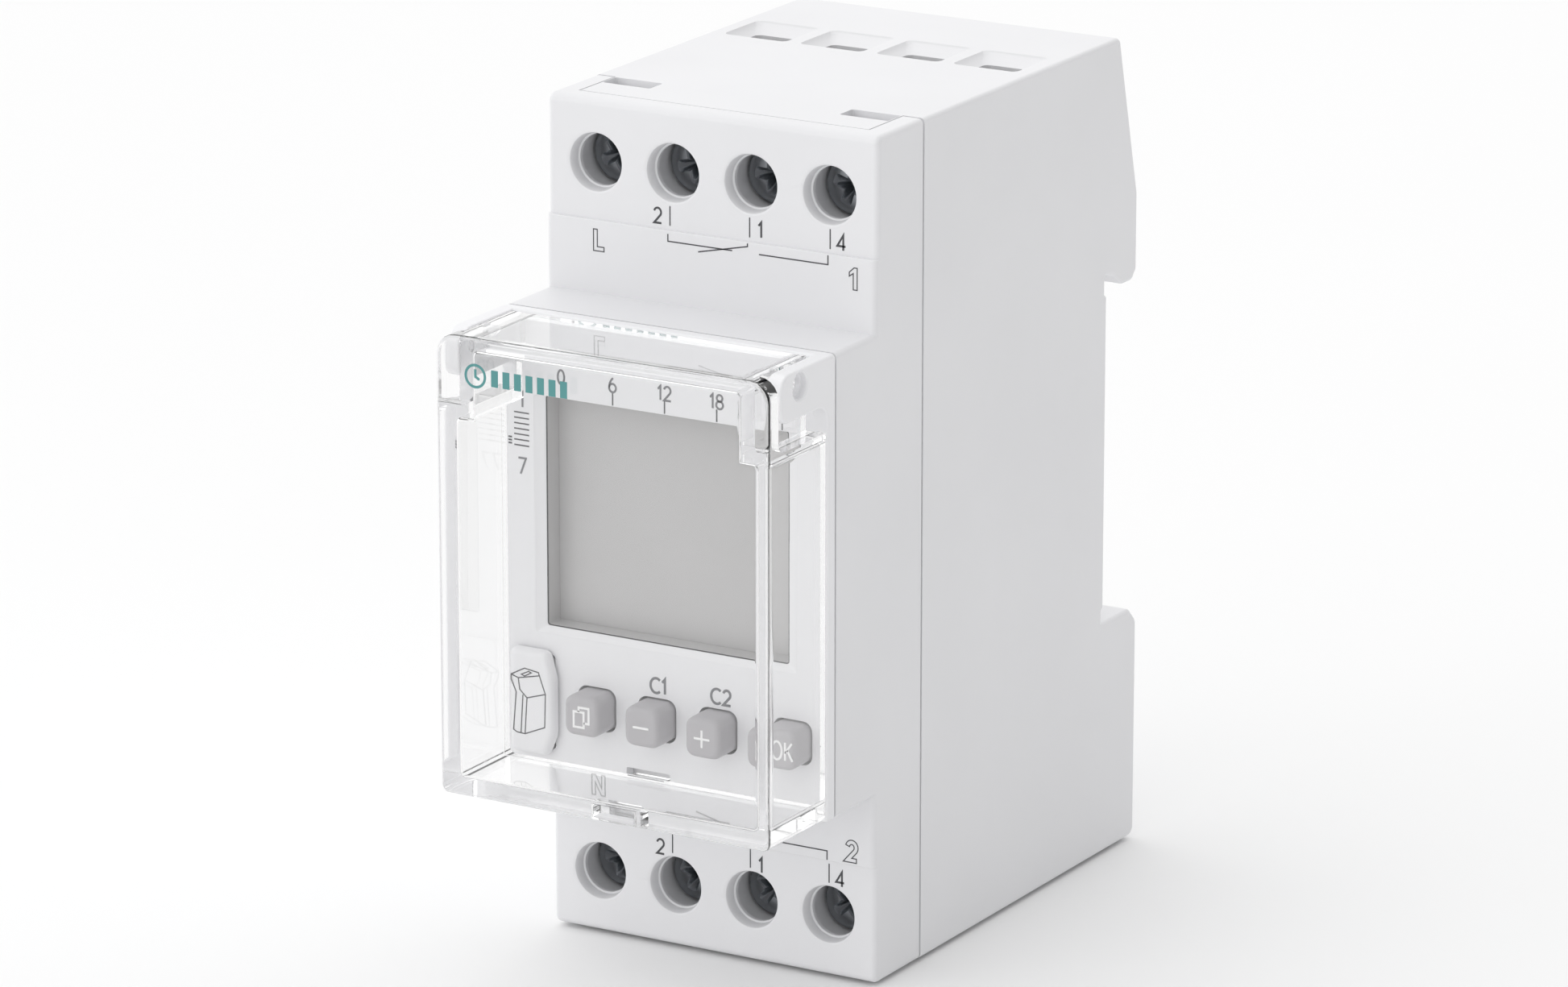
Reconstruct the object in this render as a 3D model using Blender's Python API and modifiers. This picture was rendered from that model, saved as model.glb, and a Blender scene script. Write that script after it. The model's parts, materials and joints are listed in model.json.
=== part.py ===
"""DIN rail timer: two-module digital time switch with a clear hinged hood. Metres, +Z up, front faces -Y.
The origin is the centre of the rail seat: the 35 mm mounting rail lies on the plane y = 0."""

import math

import bmesh
import bpy
from mathutils import Vector

MM = 0.001

# Driving dimensions, in mm
BODY_W = 35.8
BODY_H = 82.5
NOSE_H = 45.0
WALL = 1.8
SHOULDER_Y = -45.2  # front face of the two shoulders
STEP = 0.4  # the shoulder is proud by this much beside the nose
STEP_Z = 29.6
SEAM_Y = -36.7  # front cover meets rear housing on the sides
LIP = 2.1  # depth of the front cover's edge on the top and the bottom
NOSE_Y = -53.0  # front cover meets display bezel
BEZEL_Y = -54.3
HOOD_Y = -65.2
RAIL_H = 35.0
FOOT_Y = 6.9
HOOK_Y = 6.1
GAP = 0.3  # between pieces that touch or slide
SEAT_HALF = 15.9  # the flat seat stays clear of the hook and of the latch tooth

TERM_PITCH = 8.45
TERM_Z = 35.1
HOLE_D = 5.05
HEAD_D, HEAD_T, HEAD_IN = 5.5, 2.5, 4.0
SHANK_D = 3.4
CAGE_W, CAGE_Z, CAGE_T = 6.4, 6.5, 1.5
CAGE_IN = 25.5  # front of the open cage, behind the shoulder
CAGE_WINDOW, CAGE_TRAVEL = 7.0, 4.0
BAY_GAP = 0.2  # at the sides of a cage, where it slides in the housing
TAB_T, TAB_W = 1.2, 3.8

EAR_T, EAR_LOW, EAR_FRONT, EAR_FILLET = 1.7, 17.9, -62.9, 1.6
HINGE_Y, HINGE_Z, HINGE_D = -59.4, 20.9, 2.0
HOOD_T = 1.6
HOOD_STEP_Z, HOOD_LEDGE = 14.4, 1.0
HOOD_LOW = -22.3
SEAL_X, SEAL_IN = (-1.7, 3.2), (1.2, 3.0)  # slot for a sealing wire in the hood's floor

LCD_HALF, LCD_LOW, LCD_TOP = 12.45, -7.8, 14.5
LCD_DEEP = 2.6
KEY_X = (-6.8, -0.2, 6.45, 13.1)
KEY_Z, KEY_W, KEY_H, KEY_OUT = -15.1, 3.8, 3.9, 3.0
COVER_X, COVER_Z = (-15.95, -10.9), (-20.4, -10.0)
SLOT_X, SLOT_Z = (-3.6, 1.2), (-21.95, -20.75)

LATCH_W = 12.0
LATCH_WINDOW_Z, POST_Z = (-34.3, -24.0), (-34.0, -32.4)  # the spring stands between them
SNAP_X, SNAP_W = 12.9, 5.2  # windows in the rear housing, lugs on the front cover
SHELF_Z, SHELF_T, RIB_T = 30.9, 1.45, 0.9
RELAY_W, RELAY_Z, RELAY_DEEP = 12.7, (-27.0, 2.0), 15.7

HALF_W = BODY_W / 2
HALF_H = BODY_H / 2
NOSE_Z = NOSE_H / 2
IN_X = HALF_W - WALL
BACK_IN = -WALL
CAGE_BACK = SHOULDER_Y + CAGE_IN + 2 * CAGE_T + CAGE_WINDOW
TERM_X = tuple(TERM_PITCH * (i - 1.5) for i in range(4))

WHITE, CLEAR = (0.78, 0.78, 0.79, 1), (0.93, 0.95, 0.96, 1)


def collection(name):
    made = bpy.data.collections.new(name)
    bpy.context.scene.collection.children.link(made)
    return made


for old in list(bpy.data.objects):
    bpy.data.objects.remove(old, do_unlink=True)
PARTS = collection("din_rail_timer")
CUTTERS = collection("cutters")
CUTTERS.hide_render = True


def material(name, color, metallic=0.0, roughness=0.45, transmission=0.0):
    found = bpy.data.materials.get(name)
    if found:
        return found
    made = bpy.data.materials.new(name)
    made.use_nodes = True
    shader = made.node_tree.nodes["Principled BSDF"]
    shader.inputs["Base Color"].default_value = color
    shader.inputs["Metallic"].default_value = metallic
    shader.inputs["Roughness"].default_value = roughness
    shader.inputs["Transmission Weight"].default_value = transmission
    made.diffuse_color = color
    return made


def add_object(name, bm, where, origin=(0, 0, 0)):
    """An object from a bmesh in mm, with its origin at a point in mm."""
    bmesh.ops.recalc_face_normals(bm, faces=bm.faces)
    bmesh.ops.translate(bm, verts=bm.verts, vec=-Vector(origin))
    bmesh.ops.scale(bm, verts=bm.verts, vec=(MM, MM, MM))
    mesh = bpy.data.meshes.new(name)
    bm.to_mesh(mesh)
    bm.free()
    obj = bpy.data.objects.new(name, mesh)
    obj.location = Vector(origin) * MM
    where.objects.link(obj)
    return obj


def add_box(bm, x, y, z):
    made = bmesh.ops.create_cube(bm, size=1)["verts"]
    bmesh.ops.scale(bm, verts=made, vec=(x[1] - x[0], y[1] - y[0], z[1] - z[0]))
    middle = Vector((x[0] + x[1], y[0] + y[1], z[0] + z[1])) / 2
    bmesh.ops.translate(bm, verts=made, vec=middle)
    return made


def add_cylinder(bm, centre, axis, radius, length, segments=20):
    made = bmesh.ops.create_cone(
        bm,
        cap_ends=True,
        segments=segments,
        radius1=radius,
        radius2=radius,
        depth=length,
    )["verts"]
    turn = Vector((0, 0, 1)).rotation_difference(Vector(axis)).to_matrix()
    bmesh.ops.rotate(bm, verts=made, cent=(0, 0, 0), matrix=turn)
    bmesh.ops.translate(bm, verts=made, vec=centre)
    return made


def add_prism(bm, outline, x):
    """An outline of (y, z) points drawn out along X."""
    face = bm.faces.new([bm.verts.new((x[0], y, z)) for y, z in outline])
    grown = bmesh.ops.extrude_face_region(bm, geom=[face])["geom"]
    moved = [item for item in grown if isinstance(item, bmesh.types.BMVert)]
    bmesh.ops.translate(bm, verts=moved, vec=(x[1] - x[0], 0, 0))


def boxes(name, spans, where=CUTTERS):
    bm = bmesh.new()
    for x, y, z in spans:
        add_box(bm, x, y, z)
    return add_object(name, bm, where)


def prism(name, outline, x, where=CUTTERS):
    bm = bmesh.new()
    add_prism(bm, outline, x)
    return add_object(name, bm, where)


def cylinders(name, centres, axis, radius, length, segments=20):
    bm = bmesh.new()
    for centre in centres:
        add_cylinder(bm, centre, axis, radius, length, segments)
    return add_object(name, bm, CUTTERS)


def join(obj, tool, operation="DIFFERENCE"):
    change = obj.modifiers.new(tool.name, "BOOLEAN")
    change.operation = operation
    change.solver = "EXACT"
    change.use_self = operation == "UNION"
    change.object = tool
    tool.hide_render = True
    tool.display_type = "WIRE"


def bevel(obj, width, segments=2, angle=30):
    change = obj.modifiers.new("edge", "BEVEL")
    change.width = width * MM
    change.segments = segments
    change.limit_method = "ANGLE"
    change.angle_limit = math.radians(angle)


def finish(obj, stuff):
    obj.data.materials.append(stuff)
    return obj


def terminals():
    """(row, x, z) of every terminal: the upper row is 1, the lower row is -1."""
    return [(row, x, row * TERM_Z) for row in (1, -1) for x in TERM_X]


def both(z):
    return tuple(sorted(z)), tuple(sorted(-edge for edge in z))


# The two shells


def rear_outline():
    rail = RAIL_H / 2
    foot = -rail + 0.1
    relief = -STEP
    return [
        (SHOULDER_Y, -HALF_H),
        (FOOT_Y, -HALF_H),
        (FOOT_Y, foot - 1.4),
        (FOOT_Y - 1.4, foot),
        (relief, foot),
        (relief, -SEAT_HALF - 0.2),
        (0, -SEAT_HALF),
        (0, SEAT_HALF),
        (relief, SEAT_HALF + 0.2),
        (relief, rail + 0.4),
        (0.6, rail + 0.4),
        (1.5, rail),
        (3.4, rail - 1.2),
        (HOOK_Y - 0.9, rail - 1.2),
        (HOOK_Y, rail - 0.3),
        (HOOK_Y, 25.0),
        (2.2, HALF_H),
        (SHOULDER_Y, HALF_H),
    ]


def rear_hollow():
    top = HALF_H - WALL
    return [
        (SHOULDER_Y - 1, -top),
        (BACK_IN, -top),
        (BACK_IN, 20.0),
        (HOOK_Y - WALL, 20.0),
        (HOOK_Y - WALL, 24.6),
        (0.9, top),
        (SHOULDER_Y - 1, top),
    ]


def funnel(bm, row, x):
    """Wide mouth on the outside that narrows to the wire hole, which stands over the cage's window."""
    front = SHOULDER_Y + CAGE_IN + CAGE_T + 0.4 + TAB_T + 0.8
    mouth = ((x - 3.3, x + 3.3), (front, front + 6.4))
    hole = ((x - 2.3, x + 2.3), (front + 0.1, front + 4.6))
    levels = [
        (mouth, HALF_H + 0.2),
        (mouth, HALF_H - 0.1),
        (hole, HALF_H - 1.4),
        (hole, HALF_H - WALL - 0.4),
    ]
    rings = []
    for (xs, ys), z in levels:
        corners = [(xs[0], ys[0]), (xs[1], ys[0]), (xs[1], ys[1]), (xs[0], ys[1])]
        rings.append([bm.verts.new((cx, cy, row * z)) for cx, cy in corners])
    bm.faces.new(rings[0])
    bm.faces.new(rings[-1])
    for upper, lower in zip(rings, rings[1:]):
        for i in range(4):
            j = (i + 1) % 4
            bm.faces.new([upper[i], upper[j], lower[j], lower[i]])


def rear_housing():
    housing = prism("rear_housing", rear_outline(), (-HALF_W, HALF_W), PARTS)
    bevel(housing, 0.8)
    join(housing, prism("rear_hollow", rear_hollow(), (-IN_X, IN_X)))
    seam = SEAM_Y + GAP / 2
    side = HALF_W - 2.3
    tongue = SHOULDER_Y + LIP + GAP / 2
    outside = (-HALF_H - 1, HALF_H + 1)
    front = [
        ((-HALF_W - 1, -side), (SHOULDER_Y - 2, seam), outside),
        ((side, HALF_W + 1), (SHOULDER_Y - 2, seam), outside),
    ]
    join(housing, boxes("rear_front_sides", front))
    lip = [((-side - 1, side + 1), (SHOULDER_Y - 2, tongue), outside)]
    join(housing, boxes("rear_front_lip", lip))
    window = [
        ((x - SNAP_W / 2, x + SNAP_W / 2), (SEAM_Y - 2.5, SEAM_Y - 0.1), z)
        for x in (-SNAP_X, SNAP_X)
        for z in both((HALF_H - WALL - 1, HALF_H + 1))
    ]
    join(housing, boxes("snap_windows", window))
    pocket = [
        (x, (BACK_IN - 1, FOOT_Y - WALL), (-HALF_H + WALL, -RAIL_H / 2 - WALL + 0.1))
        for x in both((LATCH_W / 2 + GAP + 1.5, IN_X))
    ]
    join(housing, boxes("foot_pockets", pocket))
    shelf_y = (SEAM_Y + GAP + 0.05, SEAM_Y + GAP + 0.05 + SHELF_T)
    shelf_z = both((SHELF_Z, HALF_H - WALL + 0.3))
    shelf = [((-IN_X - 0.3, IN_X + 0.3), shelf_y, z) for z in shelf_z]
    ribs = [
        ((x - RIB_T / 2, x + RIB_T / 2), (shelf_y[1] - 0.5, -8.0), z)
        for x in (-TERM_PITCH, 0, TERM_PITCH)
        for z in shelf_z
    ]
    join(housing, boxes("terminal_shelves", shelf), "UNION")
    join(housing, boxes("terminal_ribs", ribs), "UNION")
    bay_x, bay_z = CAGE_W / 2 + BAY_GAP, CAGE_Z / 2 + BAY_GAP
    bays = [
        (
            (x - bay_x, x + bay_x),
            (SHOULDER_Y + CAGE_IN - CAGE_TRAVEL - GAP, CAGE_BACK + GAP),
            (z - bay_z, z + bay_z),
        )
        for _, x, z in terminals()
    ]
    join(housing, boxes("cage_bays", bays))
    holes = [(x, shelf_y[0] + 0.7, z) for _, x, z in terminals()]
    join(housing, cylinders("shelf_holes", holes, (0, 1, 0), SHANK_D / 2 + GAP, 3, 16))
    bm = bmesh.new()
    for row, x, _ in terminals():
        funnel(bm, row, x)
    join(housing, add_object("wire_funnels", bm, CUTTERS))
    half = LATCH_W / 2 + GAP
    channel = [((-half, half), (1.2, 5.2), (-HALF_H - 1, -RAIL_H / 2 + 1))]
    join(housing, boxes("latch_channel", channel))
    post = [((-1.6, 1.6), (1.0, 5.4), POST_Z)]
    join(housing, boxes("latch_post", post), "UNION")
    return finish(housing, material("white_polycarbonate", WHITE))


def cover_outline():
    y, z = SHOULDER_Y, HALF_H
    upper = [(y, z), (y, STEP_Z), (y - STEP, STEP_Z), (y - STEP, NOSE_Z)]
    upper += [(NOSE_Y - 4, NOSE_Z)]
    lower = [(a, -b) for a, b in reversed(upper)]
    return [(SEAM_Y + 4, z)] + upper + lower + [(SEAM_Y + 4, -z)]


def cover_hollow():
    top, nose, inner = HALF_H - WALL, NOSE_Z - WALL, SHOULDER_Y + WALL
    half = [(SEAM_Y + 5, top), (inner, top), (inner, nose), (NOSE_Y - 5, nose)]
    return half + [(y, -z) for y, z in reversed(half)]


def front_cover():
    cover = prism("front_cover", cover_outline(), (-HALF_W, HALF_W), PARTS)
    bevel(cover, 0.8)
    join(cover, prism("cover_hollow", cover_hollow(), (-IN_X, IN_X)))
    seam, rim = SEAM_Y - GAP / 2, NOSE_Y + GAP / 2
    wide, tall = (-HALF_W - 1, HALF_W + 1), (-HALF_H - 1, HALF_H + 1)
    join(cover, boxes("cover_back", [(wide, (seam, SEAM_Y + 6), tall)]))
    join(cover, boxes("cover_rim", [(wide, (NOSE_Y - 6, rim), tall)]))
    side = HALF_W - 2.0
    edges = [
        ((-side, side), (SHOULDER_Y + LIP - GAP / 2, SEAM_Y + 1), z)
        for z in both((HALF_H - WALL - 0.3, HALF_H + 1))
    ]
    join(cover, boxes("cover_edges", edges))
    deep = SHOULDER_Y + WALL
    tubes_y = (deep - 0.5, seam - 0.15)
    tubes = [(x, sum(tubes_y) / 2, z) for _, x, z in terminals()]
    long = tubes_y[1] - tubes_y[0]
    join(cover, cylinders("screw_tubes", tubes, (0, 1, 0), 3.9, long, 24), "UNION")
    arms = []
    lug = SNAP_W / 2 - GAP - 0.1
    for x in (-SNAP_X, SNAP_X):
        for z in both((HALF_H - WALL - 1.35, HALF_H - WALL - GAP)):
            arms.append(((x - lug, x + lug), (deep - 0.5, SEAM_Y - 0.4), z))
    join(cover, boxes("snap_arms", arms), "UNION")
    lugs = []
    for x in (-SNAP_X, SNAP_X):
        for z in both((HALF_H - WALL - 0.6, HALF_H - 0.7)):
            lugs.append(((x - lug, x + lug), (SEAM_Y - 2.2, SEAM_Y - 0.5), z))
    join(cover, boxes("snap_lugs", lugs), "UNION")
    bores = [(x, deep + 5, z) for _, x, z in terminals()]
    join(cover, cylinders("screw_bores", bores, (0, 1, 0), 3.05, 10, 24))
    holes = [(x, SHOULDER_Y, z) for _, x, z in terminals()]
    join(cover, cylinders("screw_holes", holes, (0, 1, 0), HOLE_D / 2, 6, 24))
    return finish(cover, material("white_polycarbonate", WHITE))


# The nose: bezel, hood, keys and display


def ear_outline():
    r, fillet = 1.4, EAR_FILLET
    back, front, low, top = BEZEL_Y + 0.5, EAR_FRONT, EAR_LOW, NOSE_Z
    return [
        (back, low - fillet),
        (BEZEL_Y, low - fillet),
        (BEZEL_Y - 0.12 * fillet, low - 0.5 * fillet),
        (BEZEL_Y - 0.5 * fillet, low - 0.12 * fillet),
        (BEZEL_Y - fillet, low),
        (front + r, low),
        (front + 0.4, low + 0.4),
        (front, low + r),
        (front, top - r),
        (front + 0.4, top - 0.4),
        (front + r, top),
        (back, top),
    ]


def key_spans(grow, y):
    half_w, half_h = KEY_W / 2 + grow, KEY_H / 2 + grow
    return [((x - half_w, x + half_w), y, (KEY_Z - half_h, KEY_Z + half_h)) for x in KEY_X]


def display_bezel():
    rim = NOSE_Y - GAP / 2
    bezel = boxes(
        "display_bezel",
        [((-HALF_W, HALF_W), (BEZEL_Y, rim), (-NOSE_Z, NOSE_Z))],
        PARTS,
    )
    plug_x, plug_z = IN_X - GAP, NOSE_Z - WALL - GAP
    plug = [((-plug_x, plug_x), (BEZEL_Y + 0.4, rim + 0.65), (-plug_z, plug_z))]
    join(bezel, boxes("bezel_plug", plug), "UNION")
    glass = BEZEL_Y + LCD_DEEP
    collar = [
        (
            (-LCD_HALF - 1.4, LCD_HALF + 1.4),
            (rim + 0.2, glass - 0.25),
            (LCD_LOW - 1.4, LCD_TOP + 1.4),
        )
    ]
    join(bezel, boxes("window_collar", collar), "UNION")
    window = [((-LCD_HALF, LCD_HALF), (BEZEL_Y - 1, glass + 1), (LCD_LOW, LCD_TOP))]
    join(bezel, boxes("display_window", window))
    join(bezel, boxes("key_holes", key_spans(0.25, (BEZEL_Y - 1, NOSE_Y + 2))))
    opening = [
        (
            (COVER_X[0] + 0.5, COVER_X[1] - 0.5),
            (BEZEL_Y - 1, NOSE_Y + 2),
            (COVER_Z[0] + 0.5, COVER_Z[1] - 0.5),
        )
    ]
    join(bezel, boxes("data_key_opening", opening))
    join(bezel, boxes("latch_slot", [(SLOT_X, (BEZEL_Y - 1, NOSE_Y + 1), SLOT_Z)]))
    for side, name in ((1, "right"), (-1, "left")):
        x = tuple(sorted((side * HALF_W, side * (HALF_W - EAR_T))))
        join(bezel, prism(f"ear_{name}", ear_outline(), x), "UNION")
    pins = [(0, HINGE_Y, HINGE_Z)]
    join(bezel, cylinders("pin_holes", pins, (1, 0, 0), HINGE_D / 2, BODY_W + 2, 16))
    return finish(bezel, material("white_polycarbonate", WHITE))


def hood():
    """One clear moulding. Its origin is on the hinge axis. Above the step its sides pass between the ears."""
    narrow = HALF_W - EAR_T - GAP
    rear, rear_top = BEZEL_Y - 0.45, BEZEL_Y - 0.7
    front_in = HOOD_Y + HOOD_T
    bm = bmesh.new()
    add_box(bm, (-HALF_W, HALF_W), (HOOD_Y, rear), (HOOD_LOW, HOOD_STEP_Z + HOOD_LEDGE))
    made = add_object("hood", bm, PARTS, (0, HINGE_Y, HINGE_Z))
    upper = [
        ((-narrow, narrow), (HOOD_Y, rear_top), (HOOD_STEP_Z, NOSE_Z)),
    ]
    join(made, boxes("hood_upper", upper), "UNION")
    plate = [((-HALF_W, HALF_W), (HOOD_Y, front_in), (HOOD_STEP_Z, NOSE_Z))]
    join(made, boxes("hood_front", plate), "UNION")
    inner = HALF_W - HOOD_T
    low = [((-inner, inner), (front_in, rear + 1), (HOOD_LOW + 1.5, HOOD_STEP_Z))]
    join(made, boxes("hood_space", low))
    inner_top = narrow - 1.5
    high = [
        ((-inner_top, inner_top), (front_in, rear + 1), (HOOD_STEP_Z - 0.5, NOSE_Z - 1.5))
    ]
    join(made, boxes("hood_upper_space", high))
    corners = []
    for side in (1, -1):
        x = side * HALF_W
        corners.append([(x, 1.8), (x - side * 0.5, 0.5), (x - side * 1.8, 0), (x, 0)])
    bm = bmesh.new()
    for points in corners:
        lower = [bm.verts.new((px, HOOD_Y - 1, NOSE_Z - pz)) for px, pz in points]
        face = bm.faces.new(lower)
        grown = bmesh.ops.extrude_face_region(bm, geom=[face])["geom"]
        moved = [item for item in grown if isinstance(item, bmesh.types.BMVert)]
        bmesh.ops.translate(bm, verts=moved, vec=(0, HOOD_T + 1.2, 0))
    bmesh.ops.scale(bm, verts=bm.verts, vec=(1.001, 1, 1.001))
    join(made, add_object("hood_corners", bm, CUTTERS))
    pin = HINGE_D / 2 - 0.25
    for side, name in ((1, "right"), (-1, "left")):
        centre = [(side * (narrow + 0.55), HINGE_Y, HINGE_Z)]
        stub = cylinders(f"stub_{name}", centre, (1, 0, 0), pin, 2.1, 16)
        join(made, stub, "UNION")
    tongue = [
        ((SLOT_X[0] + 0.4, SLOT_X[1] - 0.4), (rear - 0.8, BEZEL_Y + 0.9), (-21.5, -21.05))
    ]
    join(made, boxes("hood_tongue", tongue), "UNION")
    seal = [(SEAL_X, (HOOD_Y + SEAL_IN[0], HOOD_Y + SEAL_IN[1]), (HOOD_LOW - 1, HOOD_LOW + 1.4))]
    join(made, boxes("seal_slot", seal))
    return finish(made, material("clear_polycarbonate", CLEAR, 0, 0.05, 1.0))


def keys():
    names = ("key_menu", "key_minus", "key_plus", "key_ok")
    flange_y = NOSE_Y + 0.8
    for name, x in zip(names, KEY_X):
        bm = bmesh.new()
        half_w, half_h = KEY_W / 2, KEY_H / 2
        made = add_box(
            bm,
            (x - half_w, x + half_w),
            (BEZEL_Y - KEY_OUT, flange_y + 0.3),
            (KEY_Z - half_h, KEY_Z + half_h),
        )
        key = add_object(name, bm, PARTS, (x, BEZEL_Y, KEY_Z))
        bevel(key, 0.7, 2)
        flange = [
            (
                (x - half_w - 0.5, x + half_w + 0.5),
                (flange_y, flange_y + 0.7),
                (KEY_Z - half_h - 0.5, KEY_Z + half_h + 0.5),
            )
        ]
        join(key, boxes(name + "_flange", flange), "UNION")
        finish(key, material("grey_silicone", (0.4, 0.39, 0.4, 1), 0, 0.6))


def data_key_cover():
    x, z = COVER_X, COVER_Z
    pad_y = (BEZEL_Y - 1.2, BEZEL_Y - GAP)
    bm = bmesh.new()
    add_box(bm, x, pad_y, z)
    centre = (sum(x) / 2, BEZEL_Y, sum(z) / 2)
    cover = add_object("data_key_cover", bm, PARTS, centre)
    bevel(cover, 0.4, 2)
    plug = [
        ((x[0] + 0.8, x[1] - 0.8), (pad_y[1] - 0.3, NOSE_Y + 0.8), (z[0] + 0.8, z[1] - 0.8))
    ]
    join(cover, boxes("cover_plug", plug), "UNION")
    return finish(cover, material("white_polycarbonate", WHITE))


def data_key_socket(board_front):
    x = (COVER_X[0] + 0.8, COVER_X[1] - 0.8)
    z = (COVER_Z[0] + 0.9, COVER_Z[1] - 0.9)
    bm = bmesh.new()
    add_box(bm, x, (NOSE_Y + 1.1, board_front - GAP), z)
    socket = add_object("data_key_socket", bm, PARTS)
    slot = [((x[0] + 1.2, x[1] - 1.2), (NOSE_Y, board_front - 1.0), (z[0] + 1.5, z[1] - 1.5))]
    join(socket, boxes("socket_slot", slot))
    finish(socket, material("black_nylon", (0.02, 0.02, 0.02, 1)))


def plain(name, x, y, z, stuff):
    bm = bmesh.new()
    add_box(bm, x, y, z)
    return finish(add_object(name, bm, PARTS), stuff)


def display(board_front):
    glass = BEZEL_Y + LCD_DEEP
    half, low, top = LCD_HALF + 0.55, LCD_LOW - 1.5, LCD_TOP + 1.5
    plain(
        "lcd_glass",
        (-half, half),
        (glass, glass + 1.0),
        (low, top),
        material("lcd_glass", (0.5, 0.52, 0.5, 1), 0, 0.15),
    )
    behind = (glass + 1.0 + GAP, board_front - GAP)
    plain(
        "light_diffuser",
        (-half + 0.3, half - 0.3),
        behind,
        (low + 1.4, top - 1.4),
        material("diffuser_acrylic", (0.85, 0.87, 0.85, 1), 0, 0.3),
    )
    rubber = material("conductive_rubber", (0.05, 0.05, 0.06, 1), 0, 0.7)
    strips = (("zebra_upper", (top - 1.1, top - 0.1)), ("zebra_lower", (low + 0.1, low + 1.1)))
    for name, z in strips:
        plain(name, (-half + 0.3, half - 0.3), behind, z, rubber)
    outer, inner = (half + 1.3, 1.3), (half + GAP, GAP)
    bm = bmesh.new()
    add_box(bm, (-outer[0], outer[0]), (glass + 0.2, behind[1]), (low - outer[1], top + outer[1]))
    frame = add_object("lcd_frame", bm, PARTS)
    hollow = [((-inner[0], inner[0]), (glass - 1, glass + 9), (low - inner[1], top + inner[1]))]
    join(frame, boxes("frame_space", hollow))
    finish(frame, material("black_nylon", (0.02, 0.02, 0.02, 1)))


def control_electronics(board_front):
    green = material("solder_mask_green", (0.02, 0.12, 0.05, 1), 0, 0.4)
    black = material("black_epoxy", (0.015, 0.015, 0.015, 1), 0, 0.5)
    steel = material("nickel_steel", (0.6, 0.6, 0.58, 1), 1, 0.3)
    half_x, half_z = IN_X - GAP, NOSE_Z - WALL - GAP - 0.1
    back = board_front + 1.2
    plain("control_board", (-half_x, half_x), (board_front, back), (-half_z, half_z), green)
    mat = (KEY_X[0] - 2.7, half_x)
    rubber = material("silicone_mat", (0.3, 0.3, 0.3, 1), 0, 0.7)
    mat_y = (board_front - GAP - 1.0, board_front - GAP)
    plain("key_mat", mat, mat_y, (KEY_Z - 2.9, KEY_Z + 2.9), rubber)
    part = back + GAP
    plain("microcontroller", (-13, -3), (part, part + 1.2), (5, 15), black)
    plain("crystal", (3, 7.5), (part, part + 1.4), (9, 12), steel)
    bm = bmesh.new()
    add_cylinder(bm, (-4.5, part + 1.6, -9.5), (0, 1, 0), 10.0, 3.2, 32)
    finish(add_object("lithium_cell", bm, PARTS), steel)
    return part


def power_electronics(control_back):
    """The power board lies behind the contact tabs, its tall parts face forwards."""
    green = material("solder_mask_green", (0.02, 0.12, 0.05, 1))
    board = SHOULDER_Y + CAGE_IN + CAGE_T + 0.4 + TAB_T + GAP
    half = IN_X - GAP
    plain("power_board", (-half, half), (board, board + 1.6), (-29.8, 29.8), green)
    at = board - GAP
    blue = material("relay_blue", (0.02, 0.06, 0.25, 1), 0, 0.4)
    left = -IN_X + 0.5
    for name, x in (("relay_1", left), ("relay_2", left + RELAY_W + 0.5)):
        plain(name, (x, x + RELAY_W), (at - RELAY_DEEP, at), RELAY_Z, blue)
    yellow = material("capacitor_yellow", (0.6, 0.45, 0.03, 1), 0, 0.4)
    plain("x_capacitor", (left + 0.6, left + 18.6), (at - 15.0, at), (6.0, 15.0), yellow)
    bm = bmesh.new()
    add_cylinder(bm, (8.0, at - 6.0, 10.5), (0, 1, 0), 4.0, 12.0, 20)
    sleeve = material("capacitor_sleeve", (0.02, 0.02, 0.03, 1), 0, 0.3)
    finish(add_object("electrolytic_capacitor", bm, PARTS), sleeve)
    bm = bmesh.new()
    add_cylinder(bm, (-9.0, at - 6.0, 22.0), (0, 0, 1), 5.0, 3.4, 20)
    disc = material("varistor_epoxy", (0.02, 0.08, 0.3, 1), 0, 0.35)
    finish(add_object("varistor", bm, PARTS), disc)
    black = material("black_nylon", (0.02, 0.02, 0.02, 1))
    plain("board_connector", (13.0, 15.5), (control_back, at), (-9.0, 9.0), black)


# The terminals and the rail latch


def screw(name, x, z):
    """Pan head with a cross recess. It turns about its own axis, and its tip bears on the contact tab."""
    head = SHOULDER_Y + HEAD_IN
    tip = SHOULDER_Y + CAGE_IN + CAGE_T + 0.1
    bm = bmesh.new()
    add_cylinder(bm, (x, head + HEAD_T / 2, z), (0, 1, 0), HEAD_D / 2, HEAD_T, 20)
    made = add_object(name, bm, PARTS, (x, head, z))
    start = head + HEAD_T - 0.5
    shank = cylinders(name + "_shank", [(x, (start + tip) / 2, z)], (0, 1, 0), SHANK_D / 2, tip - start, 14)
    join(made, shank, "UNION")
    for tag, a, b in (("a", 1.75, 0.4), ("b", 0.4, 1.75)):
        cut = [((x - a, x + a), (head - 1, head + 1.3), (z - b, z + b))]
        join(made, boxes(f"{name}_cross_{tag}", cut))
    finish(made, material("zinc_steel", (0.35, 0.35, 0.34, 1), 1, 0.35))


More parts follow.
